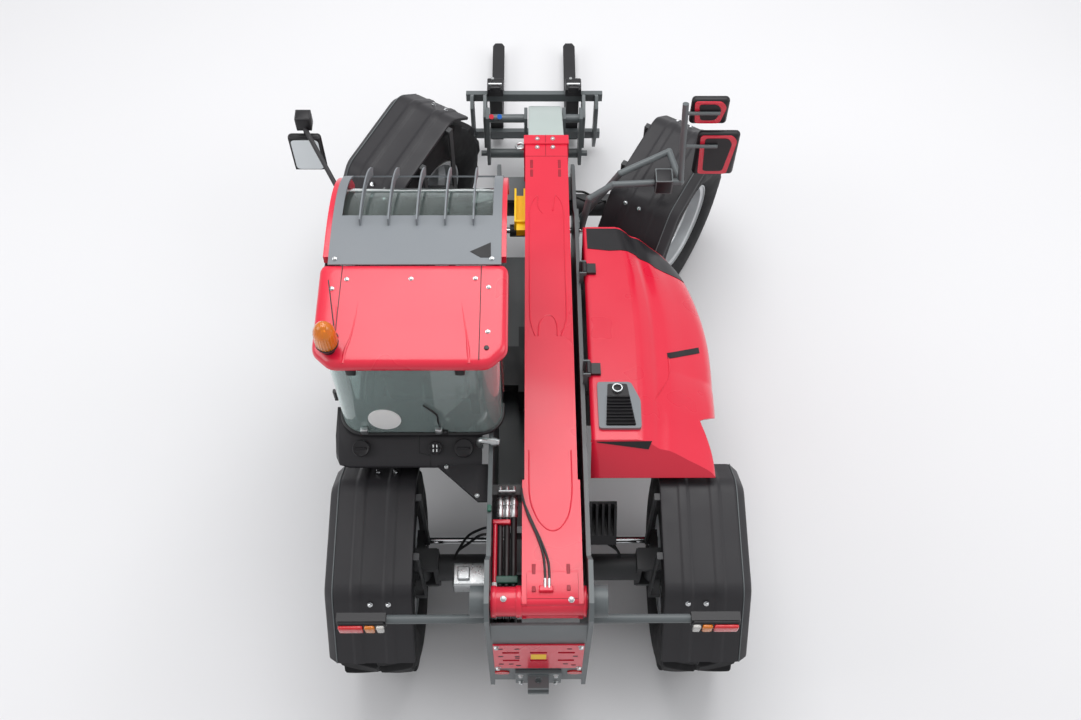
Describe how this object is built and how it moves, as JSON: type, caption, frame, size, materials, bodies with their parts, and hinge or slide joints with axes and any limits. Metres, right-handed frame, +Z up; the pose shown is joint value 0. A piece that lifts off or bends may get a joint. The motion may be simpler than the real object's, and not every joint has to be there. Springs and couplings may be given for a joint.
{
  "type": "telehandler",
  "caption": "Four-wheel-steer telehandler with a telescopic boom, quick hitch, pallet forks, offset cab, side engine hood and swinging mudguards.",
  "frame": {"origin": "on the ground at the middle of the parked machine's outline, mirrors and fork tips included", "axes": "+Y forward toward the fork tips, +X to the machine's right, +Z up"},
  "size_m": [2.8889, 5.71, 2.698],
  "materials": {
    "red_paint": "gloss",
    "grey_paint": "satin",
    "boom_grey_paint": "satin",
    "guard_grey_paint": "satin",
    "black_plastic": "matte",
    "black_paint": "satin",
    "axle_iron": "matte",
    "rim_paint": "satin",
    "tyre_rubber": "matte",
    "hose_rubber": "matte",
    "clear_glass": "clear",
    "rod_chrome": "polished",
    "fork_steel": "satin",
    "seat_cloth": "matte",
    "lamp_red": "gloss",
    "beacon_amber": "gloss",
    "yellow_paint": "satin"
  },
  "bodies": {
    "chassis": {"chassis_frame": "grey_paint", "rear_panel": "red_paint", "tow_hitch": "grey_paint", "lamp_bars": "grey_paint", "rear_lamps": "lamp_red", "front_axle": "axle_iron", "rear_axle": "axle_iron", "drive_shafts": "axle_iron", "engine_block": "axle_iron", "cab_frame": "black_paint", "cab_roof": "red_paint", "roof_guard": "guard_grey_paint", "windscreen": "clear_glass", "rear_window": "clear_glass", "side_window": "clear_glass", "tank": "black_plastic", "seat": "seat_cloth", "controls": "black_plastic", "cab_step": "grey_paint", "beacon": "beacon_amber", "mirror_left": "black_plastic", "mirror_guard": "grey_paint", "mirrors_right": "black_plastic", "hoses": "hose_rubber", "wheel_chock": "black_plastic"},
    "hood": {"hood": "red_paint", "hood_hinges": "black_paint", "hood_grille": "grey_paint"},
    "door": {"door": "black_paint", "door_glass": "clear_glass"},
    "boom": {"boom_outer": "red_paint", "boom_prop": "yellow_paint"},
    "boom_inner": {"boom_inner": "boom_grey_paint"},
    "carriage": {"quick_hitch": "grey_paint", "fork_carriage": "grey_paint", "forks": "fork_steel"},
    "lift_barrel": {"lift_barrel": "black_paint"},
    "lift_rod": {"lift_rod": "rod_chrome"},
    "tilt_barrel": {"tilt_barrel": "black_paint"},
    "tilt_rod": {"tilt_rod": "rod_chrome"},
    "steer_rod_front": {"steer_rod_front": "rod_chrome"},
    "steer_rod_rear": {"steer_rod_rear": "rod_chrome"},
    "knuckle_fl": {"knuckle_fl": "axle_iron", "fender_fl": "black_plastic"},
    "wheel_fl": {"rim_fl": "rim_paint", "tyre_fl": "tyre_rubber"},
    "knuckle_fr": {"knuckle_fr": "axle_iron", "fender_fr": "black_plastic"},
    "wheel_fr": {"rim_fr": "rim_paint", "tyre_fr": "tyre_rubber"},
    "knuckle_rl": {"knuckle_rl": "axle_iron", "fender_rl": "black_plastic"},
    "wheel_rl": {"rim_rl": "rim_paint", "tyre_rl": "tyre_rubber"},
    "knuckle_rr": {"knuckle_rr": "axle_iron", "fender_rr": "black_plastic"},
    "wheel_rr": {"rim_rr": "rim_paint", "tyre_rr": "tyre_rubber"}
  },
  "joints": [
    {"name": "boom_lift", "type": "hinge", "parent": "chassis", "child": "boom", "pos_m": [0.12477, -2.625, 1.62], "axis": [1, 0, 0], "range_deg": [0, 64]},
    {"name": "boom_extend", "type": "slide", "parent": "boom", "child": "boom_inner", "axis": [0, 0.9885, -0.1513], "range_m": [0, 2.3]},
    {"name": "carriage_tilt", "type": "hinge", "parent": "boom_inner", "child": "carriage", "pos_m": [0.12477, 1.435, 0.33], "axis": [-1, 0, 0], "range_deg": [-18, 105]},
    {"name": "lift_barrel_swing", "type": "hinge", "parent": "chassis", "child": "lift_barrel", "pos_m": [0.12477, -2.115, 0.9], "axis": [1, 0, 0], "range_deg": [-1, 62.77]},
    {"name": "lift_rod_slide", "type": "slide", "parent": "lift_barrel", "child": "lift_rod", "axis": [0, 0.9893, 0.1459], "range_m": [-0.01, 0.9431]},
    {"name": "tilt_barrel_swing", "type": "hinge", "parent": "boom_inner", "child": "tilt_barrel", "pos_m": [0.12477, 0.68343, 1.09351], "axis": [-1, 0, 0], "range_deg": [-1.82, 8.22]},
    {"name": "tilt_rod_slide", "type": "slide", "parent": "tilt_barrel", "child": "tilt_rod", "axis": [0, 0.8358, -0.5491], "range_m": [-0.0736, 0.3808]},
    {"name": "hood_open", "type": "hinge", "parent": "chassis", "child": "hood", "pos_m": [0.35477, -1.005, 1.46066], "axis": [0, -0.9885, 0.1513], "range_deg": [0, 52]},
    {"name": "door_open", "type": "hinge", "parent": "chassis", "child": "door", "pos_m": [-1.09723, -1.375, 1.8], "axis": [0, 0, 1], "range_deg": [0, 95]},
    {"name": "steer_fr", "type": "hinge", "parent": "chassis", "child": "knuckle_fr", "pos_m": [0.76977, 0.715, 0.62], "axis": [0, 0, 1], "range_deg": [-4, 64]},
    {"name": "steer_fl", "type": "hinge", "parent": "chassis", "child": "knuckle_fl", "pos_m": [-0.66023, 0.715, 0.62], "axis": [0, 0, 1], "range_deg": [-4.5, 64.5]},
    {"name": "steer_rod_front_slide", "type": "slide", "parent": "chassis", "child": "steer_rod_front", "axis": [1, 0, 0], "range_m": [-0.016, 0.226]},
    {"name": "steer_rr", "type": "hinge", "parent": "chassis", "child": "knuckle_rr", "pos_m": [0.76977, -2.065, 0.62], "axis": [0, 0, 1], "range_deg": [-34, 34]},
    {"name": "steer_rl", "type": "hinge", "parent": "chassis", "child": "knuckle_rl", "pos_m": [-0.66023, -2.065, 0.62], "axis": [0, 0, 1], "range_deg": [-34.5, 34.5]},
    {"name": "steer_rod_rear_slide", "type": "slide", "parent": "chassis", "child": "steer_rod_rear", "axis": [1, 0, 0], "range_m": [-0.121, 0.121]},
    {"name": "wheel_fl_spin", "type": "hinge", "parent": "knuckle_fl", "child": "wheel_fl", "pos_m": [-0.85076, 0.825, 0.62], "axis": [0.866, -0.5, 0], "continuous": true},
    {"name": "wheel_fr_spin", "type": "hinge", "parent": "knuckle_fr", "child": "wheel_fr", "pos_m": [0.96029, 0.605, 0.62], "axis": [0.866, -0.5, 0], "continuous": true},
    {"name": "wheel_rl_spin", "type": "hinge", "parent": "knuckle_rl", "child": "wheel_rl", "pos_m": [-0.88023, -2.065, 0.62], "axis": [1, 0, 0], "continuous": true},
    {"name": "wheel_rr_spin", "type": "hinge", "parent": "knuckle_rr", "child": "wheel_rr", "pos_m": [0.98977, -2.065, 0.62], "axis": [1, 0, 0], "continuous": true}
  ],
  "couplings": [
    {"joint": "lift_barrel_swing", "follows": "boom_lift", "ratio": 0.96507},
    {"joint": "lift_rod_slide", "follows": "boom_lift", "m_per_rad": 0.83532},
    {"joint": "tilt_barrel_swing", "follows": "carriage_tilt", "ratio": 0.073498},
    {"joint": "tilt_rod_slide", "follows": "carriage_tilt", "m_per_rad": 0.20234},
    {"joint": "steer_fl", "follows": "steer_fr", "ratio": 1},
    {"joint": "steer_rod_front_slide", "follows": "steer_fr", "m_per_rad": 0.199},
    {"joint": "steer_rl", "follows": "steer_rr", "ratio": 1},
    {"joint": "steer_rod_rear_slide", "follows": "steer_rr", "m_per_rad": -0.199}
  ]
}
